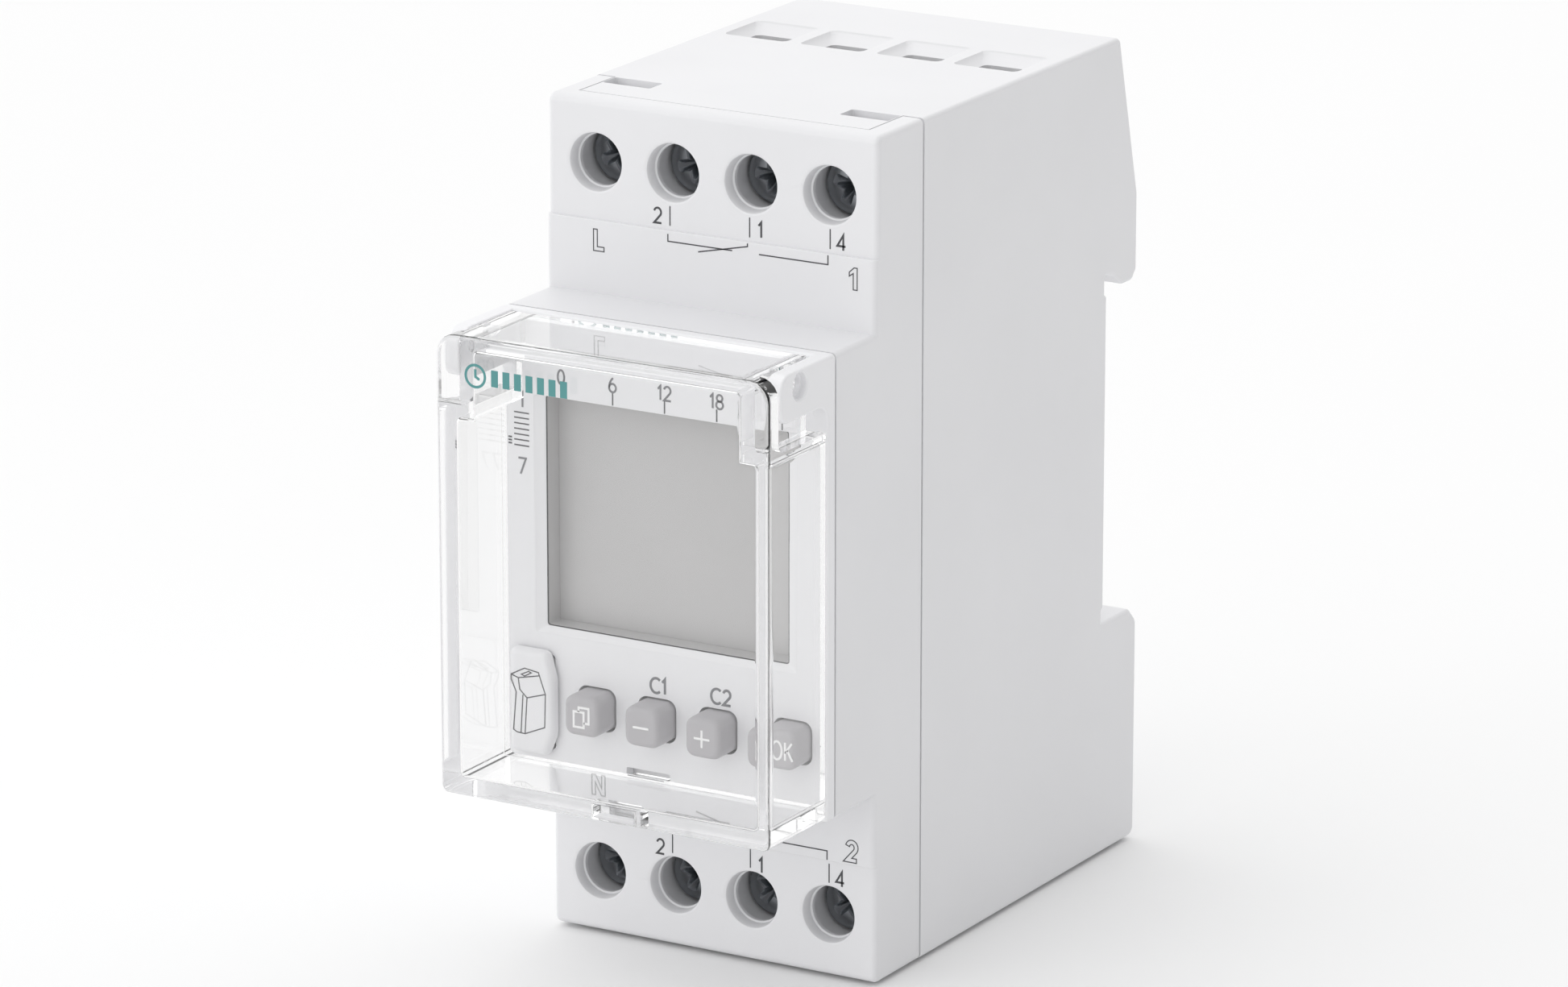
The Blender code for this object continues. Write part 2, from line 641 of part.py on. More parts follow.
def cage(name, x, z):
    """A square steel loop. The screw draws it forwards, so that it presses the wire onto the tab."""
    front = SHOULDER_Y + CAGE_IN
    back = CAGE_BACK
    half, deep = CAGE_W / 2, CAGE_Z / 2
    bm = bmesh.new()
    add_box(bm, (x - half, x + half), (front, back), (z - deep, z + deep))
    made = add_object(name, bm, PARTS, (x, front, z))
    space = [
        (
            (x - half + 0.9, x + half - 0.9),
            (front + CAGE_T, back - CAGE_T),
            (z - deep - 1, z + deep + 1),
        )
    ]
    join(made, boxes(name + "_window", space))
    hole = cylinders(name + "_hole", [(x, front, z)], (0, 1, 0), SHANK_D / 2 + 0.25, 5, 14)
    join(made, hole)
    finish(made, material("nickel_steel", (0.6, 0.6, 0.58, 1), 1, 0.3))


def terminal_parts():
    tab_y = SHOULDER_Y + CAGE_IN + CAGE_T + 0.4
    brass = material("tinned_brass", (0.62, 0.55, 0.38, 1), 1, 0.3)
    for row, x, z in terminals():
        label = f"{'upper' if row > 0 else 'lower'}_{TERM_X.index(x) + 1}"
        screw(f"terminal_screw_{label}", x, z)
        cage(f"clamp_cage_{label}", x, z)
        ends = tuple(sorted((row * 28.4, row * (TERM_Z + CAGE_Z / 2))))
        span = (x - TAB_W / 2, x + TAB_W / 2)
        plain(f"contact_tab_{label}", span, (tab_y, tab_y + TAB_T), ends, brass)


def rail_latch():
    """Slides down out of the foot. A tooth on its top end grips behind the rail's lower flange."""
    half = LATCH_W / 2
    top = -RAIL_H / 2 + 1.3
    low = -HALF_H + 0.35
    outline = [(1.5, low), (4.9, low), (4.9, top - 1.9), (3.4, top - 0.4), (2.9, top), (1.5, top)]
    bm = bmesh.new()
    add_prism(bm, outline, (-half, half))
    latch = add_object("rail_latch", bm, PARTS, (0, 3.2, low))
    join(latch, boxes("latch_window", [((-2.2, 2.2), (0, 6), LATCH_WINDOW_Z)]))
    join(latch, boxes("driver_slot", [((-3.0, 3.0), (0, 6), (-39.4, -37.6))]))
    finish(latch, material("grey_polyamide", (0.25, 0.25, 0.26, 1), 0, 0.5))


def latch_spring():
    """A folded strip of spring steel between the post and the top of the latch window."""
    low, top = POST_Z[1] + GAP, LATCH_WINDOW_Z[1] - GAP
    folds, thick, half = 4, 0.6, 1.7
    rise = (top - low) / folds
    near = [(-half if i % 2 else half - thick, low + i * rise) for i in range(folds + 1)]
    far = [(px + thick, pz) for px, pz in near]
    bm = bmesh.new()
    ring = [bm.verts.new((px, 2.2, pz)) for px, pz in near + far[::-1]]
    face = bm.faces.new(ring)
    grown = bmesh.ops.extrude_face_region(bm, geom=[face])["geom"]
    moved = [item for item in grown if isinstance(item, bmesh.types.BMVert)]
    bmesh.ops.translate(bm, verts=moved, vec=(0, 2.0, 0))
    spring = add_object("latch_spring", bm, PARTS)
    finish(spring, material("spring_steel", (0.45, 0.45, 0.45, 1), 1, 0.3))


def build():
    rear_housing()
    front_cover()
    display_bezel()
    hood()
    keys()
    board_front = BEZEL_Y + LCD_DEEP + 1.0 + GAP + 1.0 + GAP
    display(board_front)
    data_key_cover()
    data_key_socket(board_front)
    power_electronics(control_electronics(board_front))
    terminal_parts()
    rail_latch()
    latch_spring()


build()
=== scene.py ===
import json
import math

import bmesh
import bpy
import numpy as np
from mathutils import Matrix, Vector


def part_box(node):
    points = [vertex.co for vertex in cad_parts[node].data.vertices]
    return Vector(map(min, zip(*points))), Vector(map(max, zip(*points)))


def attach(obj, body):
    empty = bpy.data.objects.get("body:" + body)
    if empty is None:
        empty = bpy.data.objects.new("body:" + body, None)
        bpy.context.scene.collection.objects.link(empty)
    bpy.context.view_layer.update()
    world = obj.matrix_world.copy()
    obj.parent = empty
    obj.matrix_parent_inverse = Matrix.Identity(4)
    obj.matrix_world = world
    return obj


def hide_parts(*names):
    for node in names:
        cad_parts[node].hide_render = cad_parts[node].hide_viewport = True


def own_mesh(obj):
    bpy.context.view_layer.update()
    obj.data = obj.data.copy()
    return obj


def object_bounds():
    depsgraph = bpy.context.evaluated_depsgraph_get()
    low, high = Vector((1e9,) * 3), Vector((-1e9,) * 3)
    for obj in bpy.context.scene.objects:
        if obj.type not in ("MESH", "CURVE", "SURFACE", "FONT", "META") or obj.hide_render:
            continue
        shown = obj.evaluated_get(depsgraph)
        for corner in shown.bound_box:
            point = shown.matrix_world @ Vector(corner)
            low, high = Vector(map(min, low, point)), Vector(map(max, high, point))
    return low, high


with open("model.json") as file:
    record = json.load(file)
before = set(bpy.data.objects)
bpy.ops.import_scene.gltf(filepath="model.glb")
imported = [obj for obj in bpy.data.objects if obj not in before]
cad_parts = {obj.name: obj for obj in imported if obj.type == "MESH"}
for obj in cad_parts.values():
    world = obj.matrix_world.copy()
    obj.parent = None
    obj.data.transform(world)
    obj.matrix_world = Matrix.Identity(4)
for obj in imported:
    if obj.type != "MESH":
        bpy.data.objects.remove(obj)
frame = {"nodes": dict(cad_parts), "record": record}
cad_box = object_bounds()
MM = 0.001

# Sizes and places in mm, in the frame's axes: x to the right, y to the back, z up. The origin is the
# middle of the rail seat.
HALF_WIDTH = 17.9
HALF_HEIGHT = 41.25
HALF_NOSE = 22.5
HALF_CAVITY_WIDTH = 16.1
HALF_CAVITY_HEIGHT = 39.45

# Fronts, as y: the seam of housing and cover, the shoulders and their raised bands, the bezel, the
# display's glass, the keys, the data-key cover and the hood
SEAM = -36.7
SHOULDER = -45.2
SHOULDER_STEP = -45.6
FACE = -54.3
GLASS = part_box("lcd_glass")[0][1] / MM
KEY_FRONT = -57.3
DATA_KEY_FRONT = -55.5
HOOD_FRONT = -65.18

HALF_SEAM_GAP = 0.14
WINDOW_TOP = 14.75
HINGE = (0.0, -59.4, 20.9)
TERMINAL_ROW = 35.1
TERMINAL_PITCH = 8.45
TERMINALS = [(x, row * TERMINAL_ROW) for row in (1, -1) for x in TERMINAL_PITCH * (np.arange(4) - 1.5)]
SNAP_X = 12.9  # of the snap windows and hooks, to each side
KEYS = {"key_menu": -6.8, "key_minus": -0.2, "key_plus": 6.45, "key_ok": 13.1}
KEY_ROW = -15.1


# Small tools


def rgb(text):
    """Linear colour of an sRGB hex value."""
    channels = [int(text[i:i + 2], 16) / 255 for i in (1, 3, 5)]
    return [c / 12.92 if c <= 0.04045 else ((c + 0.055) / 1.055) ** 2.4 for c in channels] + [1.0]


def add(tree, kind, settings=None, **links):
    """Adds a node. settings holds its properties and plain socket values, links its incoming sockets."""
    made = tree.nodes.new("ShaderNode" + kind)
    for key, value in (settings or {}).items():
        if hasattr(made, key):
            setattr(made, key, value)
        else:
            made.inputs[key].default_value = value
    for key, source in links.items():
        tree.links.new(source, made.inputs[key.replace("_", " ")])
    return made


def ramp(tree, source, low, high):
    """A value that runs evenly from low to high as the source runs from 0 to 1, and no further."""
    made = tree.nodes.new("ShaderNodeMapRange")
    made.inputs["To Min"].default_value = low
    made.inputs["To Max"].default_value = high
    tree.links.new(source, made.inputs["Value"])
    return made.outputs["Result"]


def finish_of(name, colour, tint, grain_mm, bump_mm, rough, patch_mm, **plain):
    """A Principled finish. colour and tint are the ends of a slow drift across the piece, patch_mm is
    the size of its patches, grain_mm the size of the surface texture, bump_mm its height, rough the
    span of the roughness."""
    made = bpy.data.materials.new(name)
    made.use_nodes = True
    tree = made.node_tree
    shader = tree.nodes["Principled BSDF"]
    where = add(tree, "TexCoord").outputs["Object"]
    drift = add(tree, "TexNoise", {"Scale": 1 / (patch_mm * MM), "Detail": 3.0}, Vector=where).outputs["Fac"]
    grain = add(tree, "TexNoise", {"Scale": 1 / (grain_mm * MM), "Detail": 2.0}, Vector=where).outputs["Fac"]
    mix = tree.nodes.new("ShaderNodeMix")
    mix.data_type = "RGBA"
    mix.inputs["A"].default_value = rgb(colour)
    mix.inputs["B"].default_value = rgb(tint)
    tree.links.new(drift, mix.inputs["Factor"])
    tree.links.new(mix.outputs["Result"], shader.inputs["Base Color"])
    tree.links.new(ramp(tree, drift, *rough), shader.inputs["Roughness"])
    bump = add(tree, "Bump", {"Distance": bump_mm * MM, "Strength": 0.6}, Height=grain)
    tree.links.new(bump.outputs["Normal"], shader.inputs["Normal"])
    for key, value in plain.items():
        shader.inputs[key.replace("_", " ")].default_value = value
    return made


# Finishes

# Polycarbonate, injection moulded in a lightly spark-eroded tool: satin white with a faint grain
white = finish_of(
    "moulded_white_polycarbonate", "#eaeaec", "#e4e4e6", 0.35, 0.003, (0.36, 0.46), 15, IOR=1.58,
)
# The same resin from a finer tool, painted a little brighter to make up for the light the clear hood holds
# back: bezel and data-key cover
brightened_bezel_white = finish_of("moulded_white_bezel_painted_brighter", "#f1f1f3", "#ededef", 0.3, 0.002, (0.34, 0.42), 15, IOR=1.58)
# Liquid silicone rubber: matt mid grey, soft looking
silicone = finish_of("moulded_grey_silicone", "#bbb9bc", "#b6b4b7", 0.25, 0.004, (0.5, 0.62), 6, IOR=1.41)
# Two-part pad printing inks, dry and flat on the surface
legend_white = finish_of("printed_white_ink", "#fafafa", "#f4f4f4", 0.2, 0.001, (0.5, 0.6), 4)
ink = finish_of("pad_printed_grey_ink", "#464649", "#4e4e52", 0.2, 0.001, (0.5, 0.6), 4)
pale_ink = finish_of("pad_printed_pale_ink", "#737377", "#7b7b7f", 0.2, 0.001, (0.5, 0.6), 4)
teal_ink = finish_of("pad_printed_teal_ink", "#4f8f8f", "#579797", 0.2, 0.001, (0.4, 0.5), 4)
# Reflective display: satin polariser over a pale grey cell
polariser = finish_of("satin_display_polariser", "#c5c4c4", "#c1c0c0", 0.4, 0.00002, (0.3, 0.34), 9, IOR=1.5)
# Zinc plated steel, dulled in the screw holes, and the metals behind them; the nickel's dark colour is
# painted shade for the cages deep in the wire funnels
zinc = finish_of("zinc_plated_steel", "#a2a5a8", "#8d9094", 0.4, 0.002, (0.2, 0.3), 3, Metallic=1.0)
# Nickel painted dark: painted shade, so the cages seen down the wire funnels look as dark as a deep hole
shade_darkened_nickel = finish_of("nickel_plated_steel_painted_dark", "#6c6b68", "#605f5c", 0.4, 0.002, (0.25, 0.35), 3, Metallic=1.0)
brass = finish_of("tinned_brass", "#c9b98b", "#bcab7c", 0.4, 0.002, (0.28, 0.4), 3, Metallic=1.0)
spring_steel = finish_of(
    "drawn_spring_steel", "#9a9a9a", "#8c8c8c", 0.2, 0.001, (0.25, 0.35), 3, Metallic=1.0,
)
# Moulded nylons: dull, with the tool's grain
polyamide = finish_of("moulded_grey_polyamide", "#6e6e70", "#666668", 0.3, 0.004, (0.45, 0.55), 6, IOR=1.53)
black_nylon = finish_of("moulded_black_nylon", "#1b1b1c", "#232324", 0.3, 0.004, (0.4, 0.5), 6, IOR=1.53)
# Boards, rubbers and components, from glossy dipped epoxy to matt rubber
solder_mask = finish_of("green_solder_mask", "#0f4a2a", "#125433", 0.6, 0.003, (0.3, 0.4), 5)
dark_rubber = finish_of("conductive_rubber", "#2b2b2d", "#333335", 0.3, 0.004, (0.6, 0.7), 3)
mat_rubber = finish_of("silicone_mat", "#8d8b8d", "#878587", 0.3, 0.004, (0.55, 0.65), 4)
frosted = finish_of("frosted_acrylic", "#e9ebe9", "#e2e4e2", 0.2, 0.002, (0.4, 0.5), 5, IOR=1.49)
epoxy = finish_of("black_epoxy", "#181818", "#202020", 0.3, 0.003, (0.45, 0.55), 3)
relay_blue = finish_of("moulded_blue_polyester", "#1c3560", "#20396a", 0.3, 0.003, (0.35, 0.45), 5)
film_yellow = finish_of("moulded_yellow_film_box", "#c9a12a", "#c09a24", 0.3, 0.003, (0.35, 0.45), 5)
sleeve = finish_of("shrunk_dark_sleeve", "#1e2430", "#242a38", 0.3, 0.002, (0.25, 0.35), 5)
disc_blue = finish_of("dipped_blue_epoxy", "#274a7c", "#2c5084", 0.5, 0.01, (0.2, 0.3), 3)

BY_SLOT = {
    "white_polycarbonate": white,
    "grey_silicone": silicone,
    "lcd_glass": polariser,
    "diffuser_acrylic": frosted,
    "conductive_rubber": dark_rubber,
    "black_nylon": black_nylon,
    "solder_mask_green": solder_mask,
    "silicone_mat": mat_rubber,
    "black_epoxy": epoxy,
    "nickel_steel": shade_darkened_nickel,
    "relay_blue": relay_blue,
    "capacitor_yellow": film_yellow,
    "capacitor_sleeve": sleeve,
    "varistor_epoxy": disc_blue,
    "grey_polyamide": polyamide,
    "spring_steel": spring_steel,
    "zinc_steel": zinc,
    "tinned_brass": brass,
}


def clear_plastic():
    """Polycarbonate moulded in a polished tool: clear, very smooth, bright at its edges. The light of
    the lamps and of the room reaches what is behind it unbent, as it does through a thin wall."""
    made = bpy.data.materials.new("polished_clear_polycarbonate")
    made.use_nodes = True
    tree = made.node_tree
    shader = tree.nodes["Principled BSDF"]
    shader.inputs["Base Color"].default_value = rgb("#fdfdfd")
    shader.inputs["Transmission Weight"].default_value = 1.0
    shader.inputs["IOR"].default_value = 1.58
    shader.inputs["Roughness"].default_value = 0.02
    through = add(tree, "BsdfTransparent", {"Color": rgb("#f8f8f8")})
    path = add(tree, "LightPath")
    unbent = add(tree, "Math", {"operation": "MAXIMUM"})
    tree.links.new(path.outputs["Is Shadow Ray"], unbent.inputs[0])
    tree.links.new(path.outputs["Is Diffuse Ray"], unbent.inputs[1])
    mix = tree.nodes.new("ShaderNodeMixShader")
    tree.links.new(unbent.outputs[0], mix.inputs["Fac"])
    tree.links.new(shader.outputs["BSDF"], mix.inputs[1])
    tree.links.new(through.outputs["BSDF"], mix.inputs[2])
    tree.links.new(mix.outputs["Shader"], tree.nodes["Material Output"].inputs["Surface"])
    return made


clear = clear_plastic()

# The frame's own pieces take their finishes

slots = {part["node"]: part["material_slot"] for part in frame["record"]["subparts"]}
for node, piece in frame["nodes"].items():
    stuff = BY_SLOT.get(slots[node], clear)
    piece.data.materials.clear()
    piece.data.materials.append(stuff)


# Shapes: every one is an outline or a profile worked out as arrays, in mm


def rounded(corners, radii, inset=0.0, steps=6):
    """Outline with arcs at its corners, moved inwards by inset, or one outline for each inset. A side
    that is moved along its left-hand normal meets the next one at a corner moved by the sum of both
    normals over one plus the cosine of the turn. An outer corner's radius shrinks by the inset and an
    inner corner's grows. The arc's points are its centre less the radius times the normal, which turns
    evenly from side to side. The corners run anticlockwise."""
    p = np.asarray(corners, float)
    r = np.broadcast_to(np.asarray(radii, float), len(p))
    go = np.roll(p, -1, 0) - p
    go /= np.linalg.norm(go, axis=1)[:, None]
    come = np.roll(go, 1, 0)
    turn = np.arctan2(come[:, 0] * go[:, 1] - come[:, 1] * go[:, 0], (come * go).sum(1))
    side = np.sign(turn)
    left, left_on = (np.stack([-d[:, 1], d[:, 0]], 1) for d in (come, go))
    d = np.atleast_1d(np.asarray(inset, float))[:, None]
    moved = p + (left + left_on) / (1 + np.cos(turn))[:, None] * d[..., None]
    size = np.where(r > 0, np.maximum(r - side * d, 0.0), 0.0)
    centre = moved - come * (size * np.tan(np.abs(turn) / 2))[..., None] + left * (side * size)[..., None]
    angle = turn[:, None] * np.linspace(0, 1, steps)
    c, s = np.cos(angle), np.sin(angle)
    way = np.stack([c * come[:, :1] - s * come[:, 1:], s * come[:, :1] + c * come[:, 1:]], -1)
    normal = np.stack([-way[..., 1], way[..., 0]], -1)
    points = centre[:, :, None] - normal * (side * size)[..., None, None]
    points = points.reshape(len(d), -1, 2)
    return points if np.ndim(inset) else points[0]


def rectangle(x, z):
    """The four corners between two spans, anticlockwise."""
    return [(x[0], z[0]), (x[1], z[0]), (x[1], z[1]), (x[0], z[1])]


def place(flat, along, axis):
    """Points from an outline's two coordinates and a third along the axis, in x, y, z order."""
    a, b = flat[..., 0], flat[..., 1]
    c = np.broadcast_to(along, a.shape)
    return np.stack({"x": (c, a, b), "y": (a, c, b), "z": (a, b, c)}[axis], -1)


def lofted(rings):
    """A closed solid over rings[i, j], with a flat face at each end."""
    n, m = rings.shape[:2]
    i, j = np.meshgrid(np.arange(n - 1), np.arange(m), indexing="ij")
    a, b = i * m + j, i * m + (j + 1) % m
    faces = np.stack([a, b, b + m, a + m], -1).reshape(-1, 4).tolist()
    faces += [np.arange(m)[::-1].tolist(), (np.arange(m) + (n - 1) * m).tolist()]
    return rings.reshape(-1, 3), faces


def bar(corners, radii, span, axis="x", roll=(0.0, 0.0)):
    """A rounded outline carried along an axis. Over the first roll of its length it grows as a quarter
    circle from its size less the roll, and over the last it shrinks the same way."""
    square = np.array([np.pi / 2])
    near = np.linspace(0, np.pi / 2, 6) if roll[0] else square
    far = np.linspace(np.pi / 2, 0, 6) if roll[1] else square
    along = np.concatenate([
        span[0] + roll[0] * (1 - np.cos(near)),
        span[1] - roll[1] * (1 - np.cos(far)),
    ])
    inset = np.concatenate([roll[0] * (1 - np.sin(near)), roll[1] * (1 - np.sin(far))])
    rings = rounded(corners, radii, inset)
    return lofted(place(rings, along[:, None], axis))


def turned(profile, centre, axis="y", around=48):
    """A profile of (distance along the axis, radius) turned about it."""
    profile = np.asarray(profile, float)
    angle = np.linspace(0, 2 * np.pi, around, endpoint=False)
    flat = profile[:, 1, None, None] * np.stack([np.cos(angle), np.sin(angle)], -1)
    rings = place(flat, profile[:, 0, None], axis)
    return lofted(rings + np.asarray(centre, float))


def block(x, y, z, radius=0.0, axis="y", roll=(0.0, 0.0)):
    """A box whose outline across the axis has round corners and whose ends are rolled over."""
    spans = {"x": (y, z, x), "y": (x, z, y), "z": (x, y, z)}[axis]
    return bar(rectangle(spans[0], spans[1]), radius, spans[2], axis, roll)


def solid(name, shape):
    """A mesh object from points in mm and faces, closed and facing outwards."""
    points, faces = shape
    mesh = bpy.data.meshes.new(name)
    mesh.from_pydata((np.asarray(points, float) * MM).tolist(), [], faces)
    bm = bmesh.new()
    bm.from_mesh(mesh)
    bmesh.ops.remove_doubles(bm, verts=bm.verts, dist=0.002 * MM)
    bmesh.ops.recalc_face_normals(bm, faces=bm.faces)
    bm.to_mesh(mesh)
    bm.free()
    made = bpy.data.objects.new(name, mesh)
    bpy.context.scene.collection.objects.link(made)
    return made


def work(piece, shapes, operation="DIFFERENCE"):
    """Cuts shapes from a piece, or adds them to it, one after another."""
    for shape in shapes:
        tool = solid("tool", shape)
        change = piece.modifiers.new("work", "BOOLEAN")
        change.operation = operation
        change.solver = "EXACT"
        change.object = tool
        graph = bpy.context.evaluated_depsgraph_get()
        mesh = bpy.data.meshes.new_from_object(piece.evaluated_get(graph))
        piece.modifiers.clear()
        old, piece.data = piece.data, mesh
        bpy.data.meshes.remove(old)
        bpy.data.objects.remove(tool, do_unlink=True)


def fitted(piece, body, stuff, node=None, sharp=38):
    """Gives a finished piece its material, body and shading. Flat faces stay flat beside rolled edges.
    A piece that stands for a node of the frame also hides that node."""
    piece.data.materials.clear()
    piece.data.materials.append(stuff)
    piece.data.polygons.foreach_set("material_index", np.zeros(len(piece.data.polygons), np.int32))
    piece.data.shade_smooth()
    piece.data.set_sharp_from_angle(angle=math.radians(sharp))
    even = piece.modifiers.new("even_normals", "WEIGHTED_NORMAL")
    even.keep_sharp = True
    even.weight = 80
    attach(piece, body)
    if node:
        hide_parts(node)
    return piece


def mirrored(spans):
    """A span and its mirror image on the other side of zero."""
    return [spans, (-spans[1], -spans[0])]


# The body: rear housing and front cover


def rear_housing():
    """The side outline of hook, rail seat and foot carried across the width, hollowed, then cut for the
    front cover's edge, the snap windows, the wire funnels and the latch."""
    corners = [
        (-42.97, -HALF_HEIGHT), (6.9, -HALF_HEIGHT), (6.9, -18.8), (5.5, -17.4), (-0.4, -17.4),
        (-0.4, -16.1), (0.0, -15.9), (0.0, 15.9), (-0.4, 16.1), (-0.4, 17.9), (0.6, 17.9), (1.5, 17.5),
        (3.4, 16.3), (5.2, 16.3), (6.1, 17.3), (6.1, 25.0), (2.2, HALF_HEIGHT), (-42.97, HALF_HEIGHT),
    ]
    radii = [0, 1.0, 1.2, 0.7, 0, 0, 0, 0, 0, 0.3, 0.3, 0.3, 0.7, 0.7, 0.7, 2.0, 0.7, 0]
    housing = solid(
        "rear_housing_moulding",
        bar(corners, radii, (-HALF_WIDTH, HALF_WIDTH), "x", (0.45, 0.45)),
    )
    hollow = [
        (-46, -HALF_CAVITY_HEIGHT), (-1.8, -HALF_CAVITY_HEIGHT), (-1.8, 20.0), (4.3, 20.0),
        (4.3, 24.6), (0.9, HALF_CAVITY_HEIGHT), (-46, HALF_CAVITY_HEIGHT),
    ]
    work(housing, [bar(hollow, 0.4, (-HALF_CAVITY_WIDTH, HALF_CAVITY_WIDTH))])
    sides = [block(x, (-50, SEAM + HALF_SEAM_GAP), (-43, 43)) for x in mirrored((15.6, 19))]
    work(housing, sides)
    snap_windows = [
        block((x - 2.6, x + 2.6), (-39.2, -36.8), z, 0.25, "z")
        for x in (-SNAP_X, SNAP_X)
        for z in mirrored((38, 42))
    ]
    work(housing, snap_windows)
    work(housing, [wire_funnel(x, np.sign(z)) for x, z in TERMINALS])
    latch_guide = block((-6.3, 6.3), (1.2, 5.2), (-42, -16.5), 0.3, "z")
    work(housing, [latch_guide])
    shelves = []
    for z in mirrored((30.9, 39.6)):
        shelves.append(block((-16.3, 16.3), (-36.2, -34.9), z))
        for x in (-TERMINAL_PITCH, 0.0, TERMINAL_PITCH):
            shelves.append(block((x - 0.45, x + 0.45), (-35.4, -8.0), z))
    lip = [block(x, (-38.6, -30.0), (-39.2, 39.2)) for x in mirrored((15.1, 16.0))]
    lip += [block(x, (-34.9, -30.0), (-39.6, 39.6)) for x in mirrored((15.1, 16.2))]
    spring_post = block((-1.6, 1.6), (1.0, 5.4), (-34.0, -32.4))
    work(housing, shelves + lip + [spring_post], "UNION")
    driver_holes = [turned([(-38, 2.0), (-34, 2.0)], (x, 0, z), around=32) for x, z in TERMINALS]
    work(housing, driver_holes)
    return fitted(housing, "housing", white, "rear_housing")


def wire_funnel(x, row):
    """Rings of a rounded rectangle that shrink from the mouth to the wire hole: the front side stays
    almost upright and the others slope, first gently from the surface and then more steeply."""
    steps = [  # depth, half width, front, back
        (-0.3, 3.75, -15.95, -8.7),
        (0.0, 3.5, -15.85, -9.0),
        (0.25, 3.3, -15.8, -9.4),
        (0.55, 2.9, -15.75, -10.3),
        (0.85, 2.3, -15.7, -11.3),
        (2.6, 2.3, -15.7, -11.3),
    ]
    rings = []
    for depth, half, front, back in steps:
        outline = rectangle((x - half, x + half), (front, back))
        rings.append(place(rounded(outline, 0.7), row * (HALF_HEIGHT - depth), "z"))
    return lofted(np.array(rings))


def screw_hole(x, z):
    """A bore with a shallow countersunk ring at its mouth and a small step a third of the way down."""
    profile = [(-0.5, 3.15), (0.0, 3.12), (0.1, 2.86), (0.3, 2.76), (1.3, 2.68), (1.4, 2.525), (6.0, 2.525)]
    return turned([(SHOULDER + depth, radius) for depth, radius in profile], (x, 0, z), around=64)


def front_cover():
    """The side outline of shoulders and nose carried across the width with rolled edges, hollowed, with
    a proud band beside the nose, screw tubes behind the holes and snap hooks."""
    half = [(SEAM + 4, HALF_HEIGHT), (SHOULDER, HALF_HEIGHT), (SHOULDER, HALF_NOSE), (-57.0, HALF_NOSE)]
    corners = half + [(y, -z) for y, z in reversed(half)]
    radii = [0, 0.8, 0.5, 0, 0, 0.5, 0.8, 0]
    cover = solid(
        "front_cover_moulding",
        bar(corners, radii, (-HALF_WIDTH, HALF_WIDTH), "x", (0.55, 0.55)),
    )
    across = rectangle((-HALF_WIDTH, HALF_WIDTH), (SHOULDER_STEP, -43.9))
    bands = [bar(across, (0.55, 0.55, 0.3, 0.3), z, "z", (0.1, 0.1)) for z in mirrored((22.0, 29.6))]
    work(cover, bands, "UNION")
    half = [(SEAM + 5, HALF_CAVITY_HEIGHT), (-43.4, HALF_CAVITY_HEIGHT), (-43.4, 20.7), (-58, 20.7)]
    hollow = half + [(y, -z) for y, z in reversed(half)]
    work(cover, [bar(hollow, 0, (-HALF_CAVITY_WIDTH, HALF_CAVITY_WIDTH))])
    wide, tall = (-19, 19), (-43, 43)
    work(cover, [block(wide, (SEAM - HALF_SEAM_GAP, -30), tall), block(wide, (-60, -52.85), tall)])
    edges = [block((-15.75, 15.75), (SHOULDER + 2.1, -30), z) for z in mirrored((39.3, 43))]
    work(cover, edges)
    tubes = [turned([(-43.6, 3.9), (-37.1, 3.9)], (x, 0, z)) for x, z in TERMINALS]
    snap_hooks = []
    for x in (-SNAP_X, SNAP_X):
        snap_hooks += [block((x - 2.2, x + 2.2), (-43.9, -37.1), z) for z in mirrored((38.1, 39.15))]
        snap_hooks += [block((x - 2.2, x + 2.2), (-38.9, -37.2), z) for z in mirrored((38.8, 40.4))]
    work(cover, tubes + snap_hooks, "UNION")
    bores = [turned([(-43.4, 3.05), (-36, 3.05)], (x, 0, z)) for x, z in TERMINALS]
    work(cover, bores + [screw_hole(x, z) for x, z in TERMINALS])
    return fitted(cover, "housing", white, "front_cover")


# The nose: bezel, hood, data-key cover and keys


def display_window():
    """Rings that lead from the bezel's face down to the glass: a slope at the left, right and bottom,
    and none at the top, where the hour scale meets the glass."""
    steps = [  # depth, more to each side, more at the bottom
        (-0.4, 1.25, 0.85),
        (0.0, 1.1, 0.75),
        (0.12, 0.95, 0.6),
        (0.42, 0.0, 0.0),
        (4.0, 0.0, 0.0),
    ]
    rings = []
    for depth, side, low in steps:
        outline = rectangle((-12.5 - side, 12.5 + side), (-7.8 - low, WINDOW_TOP))
        rings.append(place(rounded(outline, 0.3), FACE + depth, "y"))
    return lofted(np.array(rings))


def window_sleeve(name, top, front, back, stuff):
    """A thin sleeve on the straight walls of the window, which reaches down by top from the upper one:
    four rings, with faces from each to the next and from the last back to the first."""
    outer = rounded(rectangle((-12.48, 12.48), (-7.78, WINDOW_TOP - 0.02)), 0.28)
    inner = rounded(rectangle((-12.42, 12.42), (-7.72, WINDOW_TOP - top)), 0.24)
    walk = ((outer, front), (outer, back), (inner, back), (inner, front))
    points, faces = lofted(np.array([place(outline, y, "y") for outline, y in walk]))
    m = len(outer)
    around = [[k, 3 * m + k, 3 * m + (k + 1) % m, (k + 1) % m] for k in range(m)]
    lining = solid(name, (points, faces[:-2] + around))
    return fitted(lining, "housing", stuff)


def window_lining():
    """A dark band at the front of the straight walls, painted shadow for the gap between bezel and glass, a
    little wider at the top, and behind it the display cell's grey edge.
    """
    # Painted shadow: a dark rubber band that stands for the shade in the gap around the glass
    window_sleeve("window_shadow_line", 0.14, FACE + 0.42, FACE + 0.56, dark_rubber)
    window_sleeve("display_cell_edge", 0.1, FACE + 0.57, GLASS - 0.05, polariser)


